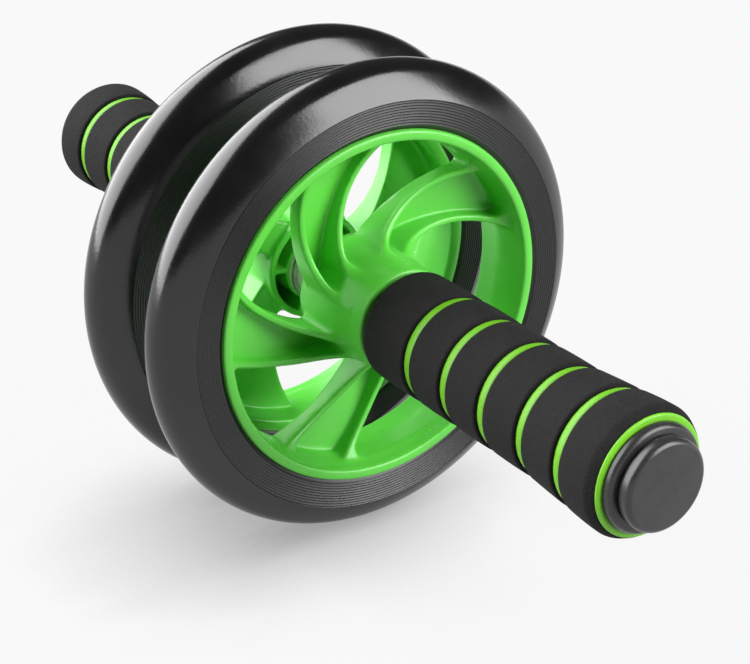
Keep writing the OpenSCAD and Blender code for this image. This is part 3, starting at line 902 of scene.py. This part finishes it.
def band_foam(colour):
    """Closed-cell foam: matt, with fine open cells on its ground surface."""
    look = Look("band_foam", colour, 0.9, Specular_IOR_Level=0.15)
    cells = look.node("ShaderNodeTexVoronoi", feature="F1", Scale=1500, Vector=look.place)
    cell_edge = cells.outputs["Distance"]
    cloud = look.noise(scale=180, detail=4, roughness=0.6)
    tone = look.math("ADD", look.math("MULTIPLY", cell_edge, 0.5), cloud)
    pits = look.bump(cell_edge, strength=0.5, depth=0.2 * MM)
    lumps = look.noise(scale=420, detail=4, roughness=0.7)
    return look.surface(
        Base_Color=look.tint(tone, (0.75, 1.4), (0.45, 1.1)),
        Roughness=look.spread(cloud, (0.82, 0.96)),
        Normal=look.bump(lumps, strength=0.4, depth=0.4 * MM, before=pits),
    )


def cap_plastic(colour):
    """Satin plastic of the end caps, with a fine moulded grain."""
    look = Look("cap_plastic", colour, 0.34)
    mottle = look.noise(scale=150, detail=4, roughness=0.6)
    return look.surface(
        Base_Color=look.tint(mottle, (0.85, 1.15)),
        Roughness=look.spread(mottle, (0.24, 0.32)),
        Normal=look.bump(look.noise(scale=1600), strength=0.12, depth=0.1 * MM),
    )


def bush_plastic(colour):
    """Pale bearing plastic."""
    look = Look("bush_plastic", colour, 0.45)
    mottle = look.noise(scale=200, detail=3)
    return look.surface(
        Base_Color=look.tint(mottle, (0.92, 1.0)),
        Roughness=look.spread(mottle, (0.4, 0.52)),
    )


def steel(name, colour, roughness):
    """Bright steel with fine turning marks round the axle."""
    look = Look(name, colour, roughness, Metallic=1)
    marks = look.node(
        "ShaderNodeTexNoise", noise_dimensions="1D", Scale=9000, Detail=2, W=look.axle_distance()
    ).outputs["Fac"]
    return look.surface(
        Base_Color=look.tint(look.noise(scale=90, detail=4), (0.85, 1.05)),
        Roughness=look.spread(marks, (roughness - 0.06, roughness + 0.1)),
        Normal=look.bump(marks, strength=0.15, depth=0.1 * MM),
    )


MAKERS = {
    "tyre_rubber": (tyre_rubber, "tyre_black"),
    "hub_plastic": (hub_plastic, "hub_green"),
    "liner_foam": (liner_foam, "liner_green"),
    "core_plastic": (core_plastic, "core_green"),
    "band_foam": (band_foam, "foam_black"),
    "cap_plastic": (cap_plastic, "cap_black"),
    "bush_plastic": (bush_plastic, "bush_cream"),
}

# Roughness of each steel
STEELS = {"axle_steel": 0.28, "zinc_steel": 0.38, "spring_steel": 0.3}


def finish_of(slot):
    """The material of a record slot, made when it is first asked for."""
    found = bpy.data.materials.get(slot)
    if found is not None and found.get("roller_finish"):
        return found
    if found is not None:
        found.name = slot + "_cad"
    colours = bpy.context.scene.roller_colours
    if slot in STEELS:
        made = steel(slot, tuple(colours.steel_grey), STEELS[slot])
    else:
        maker, colour = MAKERS[slot]
        made = maker(tuple(getattr(colours, colour)))
    made["roller_finish"] = True
    return made


def floor_paper(colour):
    """Matt paper seen as a white glow. The soft shadow close round the object is painted into that glow by an
    occlusion test.
    """
    body_factor, seen_white = 0.25, 0.95
    look = Look("floor_paper", shade(colour, body_factor), 0.95, Specular_IOR_Level=0)
    lean = look.node("ShaderNodeCombineXYZ", **PAINTED_SHADOW_LEAN).outputs["Vector"]
    # Painted shadow: the floor's white glow is dimmed wherever an occlusion test, leaning towards +X, finds
    # the object close by. The lamps don't cast it.
    painted_shade_occlusion = look.node("ShaderNodeAmbientOcclusion", Distance=PAINTED_SHADOW_REACH, samples=16, Normal=lean)
    shadow = look.spread(painted_shade_occlusion.outputs["AO"], (0.38, 1.0), (0.25, 0.88))
    white = look.node("ShaderNodeEmission", Color=(*colour, 1), Strength=shadow)
    path = look.node("ShaderNodeLightPath").outputs
    seen = look.math("MAXIMUM", path["Is Camera Ray"], path["Is Glossy Ray"])
    seen = look.math("MAXIMUM", seen, path["Is Transmission Ray"])
    mix = look.node("ShaderNodeMixShader", Fac=look.math("MULTIPLY", seen, seen_white))
    look.feed(mix.inputs[1], look.shader.outputs["BSDF"])
    look.feed(mix.inputs[2], white.outputs["Emission"])
    look.feed(look.tree.nodes["Material Output"].inputs["Surface"], mix.outputs["Shader"])
    return look.material


# Stage


def make_camera(scene, lens):
    """Camera at the photograph's viewing angle."""
    data = bpy.data.cameras.new("camera")
    data.lens = lens
    data.shift_x, data.shift_y = CAMERA_SHIFT
    data.clip_start = 10 * MM
    camera = bpy.data.objects.new("camera", data)
    turn = Matrix(CAMERA_AXES).transposed().to_4x4()
    camera.matrix_world = Matrix.Translation(CAMERA_PLACE) @ turn
    scene.collection.objects.link(camera)
    scene.camera = camera


def make_floor(scene, floor_z, stage):
    """Round floor with a low wall at its far edge."""
    count = FLOOR_SIDES
    turns = [TAU * k / count for k in range(count)]
    ring = [(FLOOR_R * math.cos(turn), FLOOR_R * math.sin(turn)) for turn in turns]
    walls = [(k, (k + 1) % count, count + (k + 1) % count, count + k) for k in range(count)]
    points = [(x, y, z) for z in (floor_z, floor_z + stage.wall_h) for x, y in ring]
    mesh = bpy.data.meshes.new("floor")
    mesh.from_pydata(points, [], [tuple(range(count))] + walls)
    mesh.materials.append(floor_paper(tuple(stage.floor_white)))
    floor = bpy.data.objects.new("floor", mesh)
    scene.collection.objects.link(floor)


def make_softbox(scene, name, glow, place, size, angle):
    """Area lamp that faces the object from a compass angle and a height angle, in degrees."""
    turn, height = (math.radians(a) for a in place)
    flat = LAMP_DISTANCE * math.cos(height)
    data = bpy.data.lights.new(name, "AREA")
    data.shape = "RECTANGLE"
    data.size, data.size_y = size
    data.spread = math.radians(angle)
    data.energy = glow * math.pi * size[0] * size[1]
    lamp = bpy.data.objects.new(name, data)
    lamp.location = flat * math.cos(turn), flat * math.sin(turn), LAMP_DISTANCE * math.sin(height)
    lamp.rotation_mode = "QUATERNION"
    lamp.rotation_quaternion = (-lamp.location).to_track_quat("-Z", "Y")
    lamp.visible_camera = False
    scene.collection.objects.link(lamp)


def make_world(scene, room_glow):
    """Dim room over the pale floor and wall."""
    world = bpy.data.worlds.new("studio")
    world.use_nodes = True
    light = world.node_tree.nodes["Background"]
    light.inputs["Color"].default_value = (1, 1, 1, 1)
    light.inputs["Strength"].default_value = room_glow
    scene.world = world


# Operators


class ROLLER_OT_stage(bpy.types.Operator):
    """Makes the camera of the photograph, the pale floor with its wall, the soft lamps and the world"""

    bl_idname = "roller.stage"
    bl_label = "Stage"

    def execute(self, context):
        scene, stage = context.scene, context.scene.roller_stage
        make_camera(scene, stage.lens)
        make_floor(scene, -scene.roller_wheels.tread_r, stage)
        make_softbox(scene, "key_softbox", stage.key_glow, place=(303, 25), size=(1.5, 1.9), angle=180)
        make_softbox(scene, "back_softbox", stage.back_glow, place=(128, 31), size=(4.6, 2.9), angle=150)
        make_world(scene, stage.room_glow)
        scene.view_settings.view_transform = "Standard"
        return {"FINISHED"}


class ROLLER_OT_hubs(bpy.types.Operator):
    """Makes the two hubs, with rounded ribs and filled corners"""

    bl_idname = "roller.hubs"
    bl_label = "Hubs"

    def execute(self, context):
        points, faces = hub_mesh(context.scene.roller_wheels)
        plain = bpy.data.meshes.new("hub")
        plain.from_pydata(points.tolist(), [], faces)
        plain.shade_smooth()
        for side, (_, wheel_turn) in SIDES.items():
            show(
                plain.copy(), side + "_hub_shell", wheel_matrix(side, wheel_turn), side + "_wheel",
                "hub_plastic", side + "_hub",
            )
        bpy.data.meshes.remove(plain)
        return {"FINISHED"}


class ROLLER_OT_tyres(bpy.types.Operator):
    """Makes the two tyres, with their fine side rings"""

    bl_idname = "roller.tyres"
    bl_label = "Tyres"

    def execute(self, context):
        profile = tyre_profile(context.scene.roller_wheels)
        for side in SIDES:
            mesh = turned_piece(profile, finish_of("tyre_rubber"), TYRE_STEPS, centre_r=TYRE_CENTRE_R)
            show(
                mesh, side + "_tyre_rubber", wheel_matrix(side), side + "_wheel", "tyre_rubber",
                side + "_tyre",
            )
        return {"FINISHED"}


class ROLLER_OT_foam_bands(bpy.types.Operator):
    """Makes the foam bands of both grips"""

    bl_idname = "roller.foam_bands"
    bl_label = "Foam bands"

    def execute(self, context):
        grip = context.scene.roller_grips
        for side in SIDES:
            for i in range(1, BANDS + 1):
                band = f"{side}_foam_band_{i}"
                show_grip_piece(side, f"foam_sleeve_{i}", "band_foam", band, band_profile(grip, band))
        return {"FINISHED"}


class ROLLER_OT_liners(bpy.types.Operator):
    """Makes the coloured liners and the grip cores with their end flanges"""

    bl_idname = "roller.liners"
    bl_label = "Liners and cores"

    def execute(self, context):
        grip = context.scene.roller_grips
        for side in SIDES:
            liner, core = side + "_foam_liner", side + "_grip_core"
            show_grip_piece(side, "liner_sleeve", "liner_foam", liner, liner_profile(grip, liner))
            show_grip_piece(side, "core_shell", "core_plastic", core, core_profile(core, reach(liner)))
        return {"FINISHED"}


class ROLLER_OT_caps(bpy.types.Operator):
    """Makes the end caps: plug, flange, neck and button"""

    bl_idname = "roller.caps"
    bl_label = "End caps"

    def execute(self, context):
        for side in SIDES:
            cap = side + "_end_cap"
            profile = cap_profile(cap, reach(side + "_grip_core"))
            show_grip_piece(side, "cap_shell", "cap_plastic", cap, profile, closed=False)
        return {"FINISHED"}


class ROLLER_OT_hardware(bpy.types.Operator):
    """Gives the axle, spacer, washers, rings, screws and bushes their finishes"""

    bl_idname = "roller.hardware"
    bl_label = "Axle hardware"

    finishes = {
        "axle_rod": "axle_steel", "center_spacer": "bush_plastic", "bush": "bush_plastic",
        "washer": "zinc_steel", "retaining_ring": "spring_steel", "end_screw": "zinc_steel",
    }

    def execute(self, context):
        for name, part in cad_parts.items():
            if part.hide_render:
                continue
            slots = [slot for ending, slot in self.finishes.items() if name.endswith(ending)]
            if not slots:
                raise RuntimeError(f"{name} has no finish")
            part.data.materials.clear()
            part.data.materials.append(finish_of(slots[0]))
        return {"FINISHED"}


class VIEW3D_PT_roller(bpy.types.Panel):
    """Lists the roller's settings and pieces"""

    bl_label = "Exercise roller"
    bl_space_type = "VIEW_3D"
    bl_region_type = "UI"
    bl_category = "Roller"

    def draw(self, context):
        layout = self.layout
        for key in SETTINGS:
            group = getattr(context.scene, key)
            box = layout.box()
            box.label(text=key.removeprefix("roller_").capitalize())
            for label in group.__annotations__:
                box.prop(group, label)
        for operator in OPERATORS:
            layout.operator(operator.bl_idname)


SETTINGS = {
    "roller_wheels": RollerWheelSettings,
    "roller_grips": RollerGripSettings,
    "roller_colours": RollerColours,
    "roller_stage": RollerStageSettings,
}
OPERATORS = (
    ROLLER_OT_stage, ROLLER_OT_hubs, ROLLER_OT_tyres, ROLLER_OT_foam_bands, ROLLER_OT_liners, ROLLER_OT_caps,
    ROLLER_OT_hardware,
)


def register():
    for cls in (*SETTINGS.values(), *OPERATORS, VIEW3D_PT_roller):
        bpy.utils.register_class(cls)
    for key, settings in SETTINGS.items():
        setattr(bpy.types.Scene, key, PointerProperty(type=settings))


def unregister():
    for key in SETTINGS:
        delattr(bpy.types.Scene, key)
    for cls in reversed((*SETTINGS.values(), *OPERATORS, VIEW3D_PT_roller)):
        bpy.utils.unregister_class(cls)


def main():
    """Makes the whole scene."""
    register()
    for operator in OPERATORS:
        group, name = operator.bl_idname.split(".")
        if getattr(getattr(bpy.ops, group), name)() != {"FINISHED"}:
            raise RuntimeError(f"{operator.bl_label} didn't finish")


if __name__ == "__main__":
    main()
